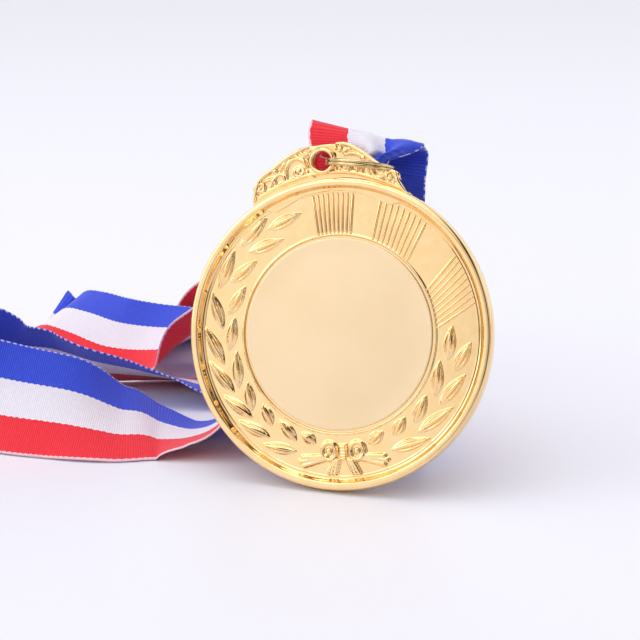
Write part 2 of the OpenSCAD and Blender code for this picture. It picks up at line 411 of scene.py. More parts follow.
def floor_material():
    """A plain pale table top with a faint satin sheen."""
    n = Nodes("table_top")
    n.set(**{"Base_Color": (0.85, 0.86, 0.93, 1), "Roughness": 0.42, "Specular_IOR_Level": 0.25})
    return n.material


# ---- the casting: disc, rim and relief ----

# Laurel leaves in medal coordinates: radius (mm) and angle (degrees from the top) of base and tip
LEFT_LEAVES = [
    (26.7, 32, 26.5, 15),
    (28.2, 46.4, 28.9, 29.8), (27.9, 67.3, 28.7, 49.7), (25.4, 85, 29.1, 70),
    (25.9, 101.6, 29.3, 84.3), (26.0, 115.8, 28.9, 99.2), (25.8, 130.2, 28.4, 114.7),
    (26.3, 142.6, 28.5, 127.4), (26.2, 156.8, 28.4, 142.2),
    (26.0, 45.9, 23.1, 28.5), (25.9, 62.6, 23.5, 46.6), (24.4, 77.8, 22.6, 61.3),
    (24.2, 95.6, 22.9, 78.7), (24.7, 114.8, 22.6, 96.8), (25.0, 127.8, 22.3, 114.7),
    (24.1, 140.2, 22.1, 129.2), (24.2, 155, 22.1, 141.9), (23.3, 165, 22.1, 156.2),
]
RIGHT_LEAVES = [
    (23.6, 105.2, 24.1, 88.6), (25.6, 109.3, 27.9, 96.2), (24.0, 124.2, 22.1, 106.7),
    (25.7, 125.8, 27.9, 109.9), (24.3, 141.2, 22.4, 126.5), (26.2, 142.3, 28.4, 124.3),
    (23.8, 153.1, 22.1, 142.9), (26.3, 157, 28.7, 140.4), (23.5, 166.4, 22.1, 157.1),
]
LEAF_W = 2.5
LEAF_H = 1.1
# Rays: first and last angle of each group, and the point below the centre that they spread from
RAY_GROUPS = [(-8, 9), (21, 42), (60, 80)]
RAY_COUNT = 9
RAY_FOCUS = -12
RAY_W = 0.5
RAY_H = 0.4
RAY_SWELL = [(0, 0.2), (0.02, 0.7), (0.08, 1), (0.5, 1), (0.92, 1), (0.98, 0.7), (1, 0.2)]
OUTER_RAY = 1.35                # the first and last ray of a group are wider
BOW_Y = -24.6


def polar(radius, degrees):
    """A point at an angle from the medal's top; positive is to the right."""
    a = math.radians(degrees)
    return radius * math.sin(a), radius * math.cos(a)


def local(x, y, start, end):
    """Coordinates along (0 to 1) and across (mm) the line from start to end, and its length."""
    dx, dy = end[0] - start[0], end[1] - start[1]
    length = math.hypot(dx, dy)
    along = ((x - start[0]) * dx + (y - start[1]) * dy) / length ** 2
    across = ((x - start[0]) * dy - (y - start[1]) * dx) / length
    return along, across, length


def leaf_height(x, y, base, tip):
    """A leaf with a soft foot, a raised edge and a raised middle, higher towards its tip."""
    t, q, _ = local(x, y, base, tip)
    inside = (t > 0) & (t < 1)
    tc = np.clip(t, 0.001, 0.999)
    half = LEAF_W / 2 * np.sin(math.pi * tc ** 0.85) ** 0.9
    e = np.clip(1 - np.abs(q) / half, 0, 1)
    body = 0.5 * smooth(e / 0.22) - 0.2 * smooth((e - 0.26) / 0.14) + 0.7 * smooth((e - 0.46) / 0.36)
    lift = 0.25 + 0.75 * smooth(t / 0.6)
    return np.where(inside, LEAF_H * body * lift, 0)


def ridge_height(x, y, start, end, width, height, taper=0.0):
    """A rounded rib from start to end; taper narrows its far end."""
    t, q, length = local(x, y, start, end)
    w = width * (1 - taper * np.clip(t, 0, 1)) / 2
    beyond = np.maximum(np.maximum(-t, t - 1), 0) * length
    e = np.clip(1 - np.hypot(q, beyond) / w, 0, 1)
    return height * np.sqrt(np.clip(1 - (1 - smooth(e / 0.75)) ** 2, 0, 1))


def ray_meshes():
    """The rays as raised ribs, from the plate's edge to the rim, on both faces."""
    points, faces = [], []
    inner = SEAT_R / MM + 0.3
    for first, last in RAY_GROUPS:
        for k in range(RAY_COUNT):
            end = Vector(polar(FIELD_R / MM - 0.3, first + (last - first) * k / (RAY_COUNT - 1)))
            way = (end - Vector((0, RAY_FOCUS))).normalized()
            reach = end.dot(way) - math.sqrt(end.dot(way) ** 2 - end.length_squared + inner ** 2)
            half = RAY_W / 2 * (OUTER_RAY if k in (0, RAY_COUNT - 1) else 1)
            for side in (1, -1):
                path, radii = [], []
                for t, swell in RAY_SWELL:
                    p = end - way * reach * (1 - t)
                    path.append(Vector((side * p.x, p.y, side * (FIELD_Z / MM + 0.02))) * MM)
                    radii.append(half * swell * MM)
                more, quads = tube(path, radii, 12, RAY_H / half)
                faces += [tuple(i + len(points) for i in q) for q in quads]
                points += more
    return mesh_object("rays", points, faces)


def bow_height(x, y):
    """A tied bow: ribbed knot, two round loops, two short tails and two long ones."""
    z = np.zeros_like(x)
    for side in (-1, 1):
        cx, cy = side * 3.0, BOW_Y + 0.4
        r = np.hypot((x - cx) / 2.0, (y - cy) / 2.4)
        loop = 0.8 * smooth((1 - r) / 0.2) - 0.55 * smooth((0.66 - r) / 0.14)
        eye = 0.5 * smooth((0.36 - r) / 0.14)
        z = np.maximum(z, loop + eye)
        for k in (-1, 0, 1):
            start = (side * (1.5 + 0.45 * k), BOW_Y - 1.5)
            end = (side * (2.6 + 0.75 * k), BOW_Y - 4.2)
            z = np.maximum(z, ridge_height(x, y, start, end, 0.85, 0.75))
        for k in (-1, 0, 1):
            start = (side * 3.6, BOW_Y - 0.9 + 0.3 * k)
            end = (side * (9.2 - 0.6 * abs(k)), BOW_Y - 1.6 + 0.85 * k)
            z = np.maximum(z, ridge_height(x, y, start, end, 0.9, 0.7, -0.3))
    knot = smooth((0.85 - np.abs(x)) / 0.3) * smooth((1.75 - np.abs(y - BOW_Y - 0.2)) / 0.3)
    ribs = 0.82 + 0.12 * np.cos(TAU * (y - BOW_Y) / 0.62)
    return np.maximum(z, knot * ribs)


def relief(x, y):
    """Height of the relief above the field, in mm, at medal coordinates in mm."""
    z = bow_height(x, y)
    for leaves, side in ((LEFT_LEAVES, -1), (RIGHT_LEAVES, 1)):
        for base_r, base_a, tip_r, tip_a in leaves:
            z = np.maximum(z, leaf_height(x, y, polar(base_r, side * base_a),
                                          polar(tip_r, side * tip_a)))
    return z


def face_profile():
    """Radius and height (mm) of the plain face from the rim's crown inwards, without relief."""
    r, h, t = DISC_R / MM, HALF_T / MM, FIELD_Z / MM
    fr, sr, sz = FIELD_R / MM, SEAT_R / MM, SEAT_Z / MM
    bw, bh, rs = BEVEL_W / MM, BEVEL_H / MM, RIM_SLOPE / MM
    outer = [(r, 0), (r, h - bh - 0.15), (r - 0.04, h - bh + 0.1), (r - 0.16, h - 0.55),
             (r - 0.3, h - 0.22), (r - bw, h - 0.06), (r - bw - 0.2, h)]
    inner = [(fr + rs + 0.2, h), (fr + rs + 0.03, h - 0.07), (fr + rs - 0.15, h - 0.32),
             (fr + rs - 0.4, h - 0.8), (fr + 0.55, t + 0.16), (fr + 0.3, t + 0.02),
             (fr + 0.14, t - 0.02), (fr + 0.04, t + 0.08), (fr - 0.1, t + 0.1), (fr - 0.24, t)]
    seat = [(sr + 0.5, t), (sr + 0.34, t + 0.1), (sr + 0.16, t + 0.12), (sr + 0.03, t + 0.02),
            (sr - 0.03, sz + 0.06), (sr - 0.14, sz), (sr - 0.6, sz)]
    return outer, inner, seat


def disc_mesh(columns=880, front_rows=62, rear_rows=30):
    """The disc as one closed mesh: both faces carry the relief between the rim and the plate."""
    outer, inner, seat = face_profile()
    outer, inner, seat = (curve_through(part, 3) for part in (outer, inner, seat))
    angles = np.arange(columns) * TAU / columns
    sin, cos = np.sin(angles), np.cos(angles)

    def half(rows):
        field = np.linspace(inner[-1][0], seat[0][0], rows + 2)[1:-1]
        profile = outer + inner + [(r, FIELD_Z / MM) for r in field] + seat
        result = []
        for r, z in profile:
            x, y = r * sin, r * cos
            lift = relief(x, y) if seat[0][0] - 0.01 <= r <= inner[-1][0] + 0.01 else 0 * x
            result.append(np.stack([x, y, z + lift], -1))
        return result

    front, rear = half(front_rows), half(rear_rows)
    rear = [np.stack([-ring[:, 0][::-1], ring[:, 1][::-1], -ring[:, 2][::-1]], -1) for ring in rear]
    rear = [np.roll(ring, 1, axis=0) for ring in rear]
    rings = list(reversed(rear))[:-1] + front
    points = np.concatenate(rings)
    quads = grid_faces(len(rings), columns)
    centre_rear, centre_front = len(points), len(points) + 1
    points = np.vstack([points, [0, 0, -SEAT_Z / MM], [0, 0, SEAT_Z / MM]])
    last = (len(rings) - 1) * columns
    faces = [tuple(q) for q in quads.tolist()]
    for k in range(columns):
        m = (k + 1) % columns
        faces.append((k, centre_rear, m))
        faces.append((last + k, last + m, centre_front))
    return mesh_object("medal_disc", points * MM, faces)


# ---- the crest ----

# Half-round mouldings of the crest: points (mm, medal coordinates), start and end radius
SCROLLS = [
    ([(-16.9, 28.6), (-15.4, 33.0), (-12.2, 35.2), (-9.6, 37.0), (-6.6, 38.5), (-4.3, 39.2)], .45, .4),
    ([(-13.2, 30.6), (-12.5, 32.6), (-11.2, 33.9), (-10.0, 33.5), (-9.9, 31.9)], .3, .34),
    ([(-14.5, 32.6), (-12.7, 33.0), (-11.9, 32.1), (-12.4, 31.0)], .34, .2),
    ([(-9.2, 32.1), (-9.6, 34.6), (-8.6, 36.4), (-7.1, 36.9), (-5.6, 36.3), (-4.9, 34.8)], .3, .42),
    ([(-10.9, 34.5), (-9.9, 36.0), (-8.4, 37.4)], .25, .3),
    ([(-6.3, 38.2), (-5.5, 37.6), (-4.6, 37.5)], .3, .25),
    ([(-7.4, 37.7), (-6.4, 37.1), (-5.2, 37.2)], .25, .2),
    ([(-5.0, 38.9), (-4.6, 38.3), (-4.1, 38.4)], .25, .2),
    ([(-5.0, 34.4), (-4.6, 33.3), (-3.3, 32.9)], .3, .3),
    ([(1.5, 39.5), (3.8, 39.1), (6.6, 37.5), (9.6, 35.0), (12.4, 33.3)], .42, .4),
    ([(1.7, 38.2), (1.3, 38.9), (0.6, 39.3)], .3, .22),
    ([(2.2, 37.7), (2.6, 38.6), (2.3, 39.4)], .32, .25),
    ([(2.9, 37.4), (4.0, 38.1), (4.9, 38.1)], .32, .22),
    ([(3.2, 37.0), (4.8, 37.2), (6.6, 36.6), (8.4, 35.3)], .34, .25),
    ([(1.4, 33.3), (1.3, 34.6), (1.9, 35.4), (2.5, 34.4)], .3, .22),
    ([(5.1, 35.2), (5.9, 34.2), (5.7, 32.9)], .34, .28),
    ([(6.9, 32.6), (6.9, 34.0), (7.6, 34.7), (8.3, 33.8), (8.5, 32.5)], .3, .26),
    ([(9.1, 34.6), (9.1, 33.0), (10.0, 31.9), (11.3, 31.9), (12.1, 32.6)], .38, .3),
    ([(9.9, 34.1), (10.4, 33.4), (11.3, 33.4)], .25, .2),
    ([(13.9, 32.0), (14.4, 30.6), (15.6, 28.6), (17.2, 27.2)], .42, .3),
    ([(-15.9, 29.3), (-12.6, 31.0), (-9.2, 32.2), (-4.6, 33.3), (0, 33.6), (4.6, 33.2), (9.2, 31.8),
      (12.6, 30.4), (15.9, 28.6)], .34, .34),
]
# Volutes: centre (mm), outer radius, turns, starting angle in degrees, direction
VOLUTES = [
    (-15.3, 31.2, 1.5, 1.3, 250, -1),
    (-6.8, 34.2, 1.25, 1.4, 60, -1),
    (3.6, 34.4, 1.2, 1.4, 120, 1),
    (12.9, 31.9, 1.35, 1.3, 290, 1),
    (-12.0, 34.6, 0.6, 1.0, 200, -1),
    (7.4, 36.0, 0.6, 1.0, 330, 1),
]
CREST_OUTLINE = [(-17.2, 27), (-16.9, 30.6), (-15.2, 32.8), (-12.8, 34.6), (-10.4, 36.4), (-7.6, 38.0),
                 (-4.6, 39.1), (-1.6, 39.4), (1.8, 39.4), (4.6, 38.6), (7.4, 36.7), (10.2, 34.5),
                 (13.2, 33.0), (14.6, 31.0), (16.0, 28.6), (17.5, 26.5)]
CREST_BASE = [(12, 26), (6, 29), (0, 30), (-6, 29), (-12, 26)]
CREST_HALF = 1.0
MOULDING_Z = 1.12
CREST_VOXEL = 0.11 * MM


def slab(name, outline, half):
    count = len(outline)
    points = [(x, y, -half) for x, y in outline] + [(x, y, half) for x, y in outline]
    faces = [tuple(range(count))[::-1], tuple(range(count, 2 * count))]
    for i in range(count):
        j = (i + 1) % count
        faces.append((i, j, count + j, count + i))
    return mesh_object(name, np.array(points) * MM, faces)


def moulding(name, line, first, last, z):
    """A rounded moulding through a line on one side of the crest."""
    line = curve_through(line, 6)
    count = len(line)
    radii = []
    for i in range(count):
        t = i / (count - 1)
        ends = min(1, 0.45 + 3 * t, 0.45 + 3 * (1 - t))
        radii.append((first + (last - first) * t) * ends * MM)
    path = [Vector((p[0] * MM, p[1] * MM, z * MM)) for p in line]
    return mesh_object(name, *tube(path, radii, 10))


def volute_line(cx, cy, radius, turns, start, way):
    count = int(10 * turns)
    result = []
    for i in range(count + 1):
        t = i / count
        a = math.radians(start) + way * TAU * turns * t
        r = radius * (1 - 0.78 * t)
        result.append((cx + r * math.cos(a), cy + r * math.sin(a)))
    return result


def ball(name, x, y, z, radius):
    mesh = bpy.data.meshes.new(name)
    shape = bmesh.new()
    bmesh.ops.create_icosphere(shape, subdivisions=3, radius=radius * MM)
    shape.to_mesh(mesh)
    shape.free()
    mesh.transform(Matrix.Translation((x * MM, y * MM, z * MM)))
    thing = bpy.data.objects.new(name, mesh)
    bpy.context.scene.collection.objects.link(thing)
    return thing


def lathe(name, profile, columns, closed=True):
    """A closed profile (radius, height in mm) turned about Z."""
    angles = np.arange(columns) * TAU / columns
    rings = [np.stack([r * np.cos(angles), r * np.sin(angles), z + 0 * angles], -1) for r, z in profile]
    points = np.concatenate(rings) * MM
    faces = grid_faces(len(rings), columns).tolist()
    last = (len(rings) - 1) * columns
    if closed:
        for k in range(columns):
            m = (k + 1) % columns
            faces.append((last + k, last + m, m, k))
    else:
        faces.append(tuple(range(columns))[::-1])
        faces.append(tuple(range(last, last + columns)))
    return mesh_object(name, points, faces)


def eyelet_boss():
    """The round boss with a rolled lip on each side and a true bore."""
    top = CREST_HALF + 0.95
    profile = [(BORE_R, 0), (BORE_R, top - 0.5), (BORE_R + 0.06, top - 0.25),
               (BORE_R + 0.22, top - 0.05), (BORE_R + 0.42, top), (BOSS_R - 0.28, top - 0.08),
               (BOSS_R - 0.08, top - 0.3), (BOSS_R, top - 0.6), (BOSS_R, 0)]
    mirrored = [(r, -z) for r, z in reversed(profile)][1:-1]
    thing = lathe("eyelet_boss", profile + mirrored, 72)
    thing.data.transform(Matrix.Translation((EYELET[0] * MM, EYELET[1] * MM, 0)))
    return thing


def crest_mesh():
    """Scrolls and volutes fused with their backing plate, as a casting is, then bored."""
    outline = [tuple(p) for p in curve_through(CREST_OUTLINE, 6)] + CREST_BASE
    things = [slab("crest_slab", outline, CREST_HALF)]
    for z in (MOULDING_Z, -MOULDING_Z):
        for i, (line, first, last) in enumerate(SCROLLS):
            things.append(moulding("scroll", line, first, last, z))
        for cx, cy, radius, turns, start, way in VOLUTES:
            line = volute_line(cx, cy, radius, turns, start, way)
            things.append(moulding("volute", line, 0.36, 0.3, z))
            things.append(ball("volute_eye", cx, cy, z + math.copysign(0.1, z), 0.24 + 0.12 * radius))
    crest = join("crest", things)
    remesh = crest.modifiers.new("fuse", "REMESH")
    remesh.mode = "VOXEL"
    remesh.voxel_size = CREST_VOXEL
    remesh.use_smooth_shade = True
    apply_modifiers(crest)
    soften = crest.modifiers.new("soften", "SMOOTH")
    soften.factor, soften.iterations = 0.5, 3
    bore = lathe("bore", [(BOSS_R - 0.35, -4), (BOSS_R - 0.35, 4)], 72, closed=False)
    bore.data.transform(Matrix.Translation((EYELET[0] * MM, EYELET[1] * MM, 0)))
    cut = crest.modifiers.new("bore", "BOOLEAN")
    cut.object, cut.operation, cut.solver = bore, "DIFFERENCE", "EXACT"
    apply_modifiers(crest)
    bpy.data.objects.remove(bore)
    thin = crest.modifiers.new("thin", "DECIMATE")
    thin.ratio = 0.45
    apply_modifiers(crest)
    return shade_smooth(crest)


def build_casting(gold):
    casting = join("cast_medal", [disc_mesh(), ray_meshes(), crest_mesh(), eyelet_boss()])
    casting.data.transform(MEDAL)
    casting.data.materials.clear()
    casting.data.materials.append(gold)
    casting.data.polygons.foreach_set("material_index", [0] * len(casting.data.polygons))
    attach(casting, "medal")
    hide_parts("medal_casting")
    return casting


# ---- centre plates ----

def build_plate(node, name, satin, rear=False):
    """A blank disc with a rolled edge and a barely crowned face, on its seat."""
    r, edge, low, high = PLATE_R / MM, 0.16, SEAT_Z / MM + 0.1, FACE_Z / MM
    face = [(rr, high - 0.012 * (rr / r) ** 2) for rr in (r - edge - 0.2, 15, 10, 5, 0.4)]
    arc = [(r - edge + edge * math.cos(a), high - edge + edge * math.sin(a))
           for a in (0, math.pi / 6, math.pi / 3, math.pi / 2 * 0.98)]
    profile = [(0.4, low), (r - 0.05, low), (r, low + 0.05)] + arc + face
    plate = lathe(name, profile, 240, closed=False)
    if rear:
        plate.data.transform(Matrix.Rotation(math.pi, 4, "Y"))
    plate.data.transform(MEDAL)
    plate.data.materials.append(satin)
    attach(plate, "medal")
    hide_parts(node)
    return plate


# ---- split ring ----

RING_R, WIRE_R = 6.9, 0.36
RING_PITCH, RING_REACH, RING_SLOPE, RING_BACK = 0.7, 7.6, -10, 1
RING_TURNS = 1.96


def ring_matrix():
    return (MEDAL @ Matrix.Translation((EYELET[0] * MM, EYELET[1] * MM, -RING_BACK * MM))
            @ Matrix.Rotation(math.radians(RING_SLOPE), 4, "Z")
            @ Matrix.Translation((RING_REACH * MM, 0, 0))
            @ Matrix.Rotation(math.pi / 2, 4, "X"))


def build_split_ring(wire):
    """Two turns of wire that lie against each other, with a short step where they cross over."""
    count, sides = 300, 16
    points, faces = [], []
    start = math.radians(200)
    for i in range(count + 1):
        t = i / count
        a = start + TAU * RING_TURNS * t
        z = RING_PITCH * (float(smooth((t - 0.44) / 0.12)) - 0.5)
        centre = Vector((RING_R * math.cos(a), RING_R * math.sin(a), z))
        out = Vector((math.cos(a), math.sin(a), 0))
        end = min(1.0, math.sqrt(min(1, (0.15 + i) / 3)), math.sqrt(min(1, (0.15 + count - i) / 3)))
        for k in range(sides):
            b = TAU * k / sides
            points.append((centre + (out * math.cos(b) + Vector((0, 0, 1)) * math.sin(b))
                           * WIRE_R * end) * MM)
    faces = grid_faces(count + 1, sides, flip=True).tolist()
    faces.append(tuple(range(sides)))
    faces.append(tuple(reversed(range(count * sides, (count + 1) * sides))))
    ring = mesh_object("wire_split_ring", points, faces)
    ring.data.transform(ring_matrix())
    ring.data.materials.append(wire)
    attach(ring, "ring")
    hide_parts("split_ring")
    return ring


# ---- ribbon ----

# Centre (mm, from the disc centre's foot, above the table), direction from the red edge to the
# blue edge, and gather from 0, flat, to 1, pleated into the ring. The same route as the CAD's.
ROUTE = [
    ((0.8, 20, 63), (1, 0, -0.15), 0), ((1, 20.6, 68), (1, 0, -0.2), 0),
    ((1, 17.4, 71.2), (1, 0, -0.21), 0), ((1.3, 14.4, 69), (1, 0, -0.18), 0.2),
    ((1.7, 12.6, 66.2), (1, 0, -0.07), 1), ((1.7, 11.9, 63.4), (1, 0, -0.05), 1),
    ((1, 11.8, 59), (1, 0.1, 0), 0.85), ((-2, 12.5, 50), (0.9, 0.3, -0.2), 0.5),
    ((-8, 14, 38), (0.7, 0.5, -0.3), 0.2), ((-17, 15.5, 26.5), (0.5, 0.8, -0.4), 0),
    ((-24.5, 19, 13.5), (0.1, 0.9, -0.4), 0), ((-31.5, 13.5, 5.2), (-0.4, 0.87, -0.3), 0),
    ((-38, 11.5, 2.2), (-0.35, 0.93, -0.12), 0), ((-45.5, 9.5, 2.8), (-0.2, 0.95, 0.15), 0),
    ((-53, 5, 5.6), (-0.3, 0.85, 0.42), 0), ((-63, 1, 9.2), (-0.2, 0.65, 0.72), 0),
    ((-77, -1.5, 11.1), (-0.15, 0.48, 0.86), 0), ((-89, -1, 12.6), (0, 0.2, 1), 0),
    ((-99, 8, 12.6), (0, 0, 1), 0), ((-101, 22, 12), (0.05, -0.1, 1), 0),
    ((-94, 33, 10.2), (0.2, -0.55, 0.8), 0), ((-84, 37, 9.2), (0.1, -0.68, 0.73), 0),
    ((-74, 38, 7.5), (0.1, -0.8, 0.6), 0), ((-63, 41.5, 5.5), (0.1, -0.88, 0.45), 0),
    ((-52, 44.5, 3.6), (0.1, -0.95, 0.28), 0), ((-41, 47, 2.4), (0, -1, 0.05), 0),
    ((-31, 53, 2.5), (0, -1, -0.05), 0), ((-22, 51, 6), (0, -0.85, -0.5), 0),
    ((-14, 43, 11.8), (0, -0.3, -0.95), 0), ((-7, 34.5, 12.6), (0, -0.1, -1), 0),
    ((2, 27.1, 12.6), (0, 0, -1), 0),
]
RETURN_ROUTE = [
    ((2, 25.8, 12.6), (0, 0, -1), 0), ((-9, 30, 12.6), (0, 0, -1), 0),
    ((-20, 40.5, 15.8), (0, 0.05, -1), 0), ((-34, 51, 18.5), (0, 0.3, -0.95), 0),
    ((-42, 54.5, 16), (0, 0.6, -0.8), 0), ((-51, 57, 12.5), (0, 0.85, -0.55), 0),
    ((-61, 61, 9.5), (-0.05, 0.94, 0.34), 0), ((-71, 63, 8), (0, 0.84, 0.54), 0),
    ((-81, 63, 8.4), (0.02, 0.8, 0.6), 0), ((-91, 65, 10.2), (0.15, 0.85, 0.5), 0),
    ((-99, 67, 10.7), (0.31, 0.88, 0.36), 0), ((-104, 70, 6.8), (0.3, 0.93, 0.15), 0),
    ((-99, 73, 2.4), (0.2, 0.97, 0.05), 0), ((-86, 76, 1.9), (0.05, 1, 0), 0),
    ((-72, 84, 3.2), (0, 1, -0.2), 0), ((-59, 84.5, 9.5), (0, 0.6, -0.8), 0),
    ((-46, 77, 15), (0.2, 0.4, -0.9), 0), ((-33, 65, 22.5), (0.4, 0.3, -0.8), 0),
    ((-21, 51, 33.5), (0.7, 0.2, -0.6), 0), ((-10, 34, 45), (0.9, 0.1, -0.3), 0),
    ((-1, 24, 55), (1, 0, -0.1), 0),
]
ROLL_CENTRE = (2, 14)
ROLL_LAYERS = (13.1, 11.8)
ROLL_PITCH = 2.6
SEAM_AT = 18.6                 # where the two ends are lapped, as a place on the return route
PLEATS = 3
PLEAT_SWING = 1.75
SUBSTEPS = 24
ROW_STEP = 1.1 * MM
COLUMNS = 56


def dense(knots, closed=False):
    """Catmull-Rom samples of centre, direction and gather through a list of knots."""
    rows = np.array([list(p) + list(w) + [g] for p, w, g in knots], float)
    count = len(rows)
    result = []
    for i in range(count if closed else count - 1):
        pick = [(i + k) % count if closed else min(max(i + k, 0), count - 1) for k in (-1, 0, 1, 2)]
        a, b, c, d = rows[pick]
        for k in range(SUBSTEPS):
            t = k / SUBSTEPS
            result.append((2 * b + (c - a) * t + (2 * a - 5 * b + 4 * c - d) * t * t
                           + (3 * b - a - 3 * c + d) * t ** 3) / 2)
    if not closed:
        result.append(rows[-1])
    return np.array(result)


def length_of(points):
    return float(np.linalg.norm(np.diff(points, axis=0), axis=1).sum())


def spiral_knots(radius, turns, inward):
    """Knots of one layer of the roll, clockwise from its rear tangent point."""
    count = round(turns * 16)
    knots = []
    for i in range(1, count + 1):
        a = TAU * turns * i / count
        r = radius - ROLL_PITCH * turns * i / count
        knots.append(((ROLL_CENTRE[0] + r * math.sin(a), ROLL_CENTRE[1] + r * math.cos(a), 12.6),
                      (0, 0, -1), 0))
    return knots if inward else knots[::-1]


def ribbon_knots():
    """The whole closed route: up to the roll, in and out of it, and back, cut at the seam."""
    spare = (RIBBON_LENGTH - LAP) / MM - length_of(dense(ROUTE)[:, :3])
    spare -= length_of(dense(RETURN_ROUTE + ROUTE[:1])[:, :3])
    middle = sum(ROLL_LAYERS) / 2
    # both layers: spare = 2 * TAU * turns * (middle - pitch * turns / 2)
    turns = (middle - math.sqrt(middle ** 2 - spare * ROLL_PITCH / TAU)) / ROLL_PITCH
    knots = (ROUTE + spiral_knots(ROLL_LAYERS[0], turns, True)
             + spiral_knots(ROLL_LAYERS[1], turns, False) + RETURN_ROUTE)
    cut = len(knots) - len(RETURN_ROUTE) + int(SEAM_AT)
    return knots[cut:] + knots[:cut]


def ribbon_rows():
    """Evenly spaced rows: centre, tangent, direction across, gather and distance along."""
    samples = dense(ribbon_knots(), closed=True)
    centre = samples[:, :3] * MM
    steps = np.linalg.norm(np.roll(centre, -1, axis=0) - centre, axis=1)
    place = np.concatenate([[0], np.cumsum(steps)])
    total = place[-1]
    samples = np.vstack([samples, samples[:1]])
    length = total + LAP
    count = round(length / ROW_STEP)
    at = np.linspace(0, length, count + 1)
    around = at % total

    def pick(distance):
        return np.stack([np.interp(distance, place, samples[:, k]) for k in range(7)], -1)

    rows = pick(around)
    ahead, behind = pick((at + 0.7 * MM) % total), pick((at - 0.7 * MM) % total)
    tangent = ahead[:, :3] - behind[:, :3]
    tangent /= np.linalg.norm(tangent, axis=1)[:, None]
    across = rows[:, 3:6]
    across = across - tangent * (across * tangent).sum(1)[:, None]
    across /= np.linalg.norm(across, axis=1)[:, None]
    centre = rows[:, :3] * MM
    rise = np.abs(across[:, 2])
    lowest = (RIBBON_W * rise + CAD_RIBBON_T * np.sqrt(1 - rise ** 2)) / 2
    centre[:, 2] = np.maximum(centre[:, 2], lowest)
    centre += np.array([0, FACE_Z * math.cos(LEAN), TABLE_Z])
    # the last stretch lies on the first one at the seam
    lap = smooth((at - (length - LAP - 8 * MM)) / (8 * MM)) * (RIBBON_T + 0.05 * MM)
    centre -= np.cross(tangent, across) * lap[:, None]
    return centre, tangent, across, np.clip(rows[:, 6], 0, 1), at


def section_points(gather):
    """Positions across and out of the ribbon's plane: the red third pleats only inside the ring."""
    fraction = np.linspace(0, 1, COLUMNS)
    depth = smooth((fraction - 0.22) / 0.3)
    tight = smooth((gather - 0.6) / 0.3)[:, None]
    depth = depth[None, :] * (1 - tight) + tight
    swing = PLEAT_SWING * gather[:, None] ** 0.6 * depth * np.sin(TAU * PLEATS * fraction)[None, :]
    step = RIBBON_W / (COLUMNS - 1)
    run = np.cumsum((np.cos(swing[:, 1:]) + np.cos(swing[:, :-1])) / 2 * step, axis=1)
    out = np.cumsum((np.sin(swing[:, 1:]) + np.sin(swing[:, :-1])) / 2 * step, axis=1)
    zero = np.zeros((len(gather), 1))
    run, out = np.hstack([zero, run]), np.hstack([zero, out])
    return run - run[:, -1:] / 2, out - out.mean(1)[:, None], swing, fraction


def build_ribbon(weave):
    centre, tangent, across, gather, at = ribbon_rows()
    run, out, swing, fraction = section_points(gather)
    normal = np.cross(tangent, across)
    middle = (centre[:, None, :] + across[:, None, :] * run[..., None]
              + normal[:, None, :] * out[..., None])
    face = (normal[:, None, :] * np.cos(swing)[..., None]
            - across[:, None, :] * np.sin(swing)[..., None])
    # the selvedges are a little thicker than the weave between them
    edge_distance = np.minimum(fraction, 1 - fraction) * RIBBON_W
    half = RIBBON_T / 2 + 0.05 * MM * np.exp(-((edge_distance - 0.4 * MM) / (0.4 * MM)) ** 2)
    half = half * np.where(edge_distance < 0.1 * MM, 0.55, 1)
    ring = np.concatenate([middle - face * half[None, :, None],
                           (middle + face * half[None, :, None])[:, ::-1]], axis=1)
    count, wide = ring.shape[:2]
    points = ring.reshape(-1, 3)
    faces = grid_faces(count, wide).tolist()
    faces.append(tuple(range(wide))[::-1])
    faces.append(tuple(range((count - 1) * wide, count * wide)))
    ribbon = mesh_object("neck_ribbon", points, faces)
    width = np.concatenate([fraction, fraction[::-1]]) * RIBBON_W
    data = np.zeros((count, wide, 3), np.float32)
    data[..., 0] = at[:, None]
    data[..., 1] = width[None, :]
    layer = ribbon.data.attributes.new("weave", "FLOAT_VECTOR", "POINT")
    layer.data.foreach_set("vector", data.reshape(-1))
    ribbon.data.materials.append(weave)
    low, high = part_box("ribbon_loop")
    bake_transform(ribbon)
    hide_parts(*[n for n in frame["nodes"] if n.startswith("ribbon_")])
    return ribbon, (centre, tangent, across, normal)


STITCHES, STITCH_PITCH, ROW_GAP, THREAD_R = 8, 2.8, 6 * MM, 0.12 * MM
# One stitch: place along the row and height over the cloth, mm
STITCH_LINE = [(-1.0, -0.25), (-0.85, 0.05), (-0.4, 0.13), (0.4, 0.13), (0.85, 0.05), (1.0, -0.25)]


def build_stitches(rows, thread):
    """Two rows of stitches across the lap, each a short loop that dives into the cloth."""
    centre, tangent, across, normal = rows
    points, faces = [], []
    for row in (0, 1):
        index = len(centre) - 1 - round((LAP / 2 + (row - 0.5) * ROW_GAP) / ROW_STEP)
        base, w, n = (Vector(v[index]) for v in (centre, across, normal))
        for k in range(STITCHES):
            middle = base + w * (k - (STITCHES - 1) / 2) * STITCH_PITCH * MM
            path = [middle + w * x * MM - n * (RIBBON_T / 2 + z * MM)
                    for x, z in STITCH_LINE]
            more, quads = tube(path, [THREAD_R] * len(path), 8)
            faces += [tuple(i + len(points) for i in q) for q in quads]
            points += more
    stitches = mesh_object("seam_stitches", points, faces)
    stitches.data.materials.append(thread)
    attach(stitches, "medal")
    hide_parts("seam_thread")
    return stitches


# ---- stage ----

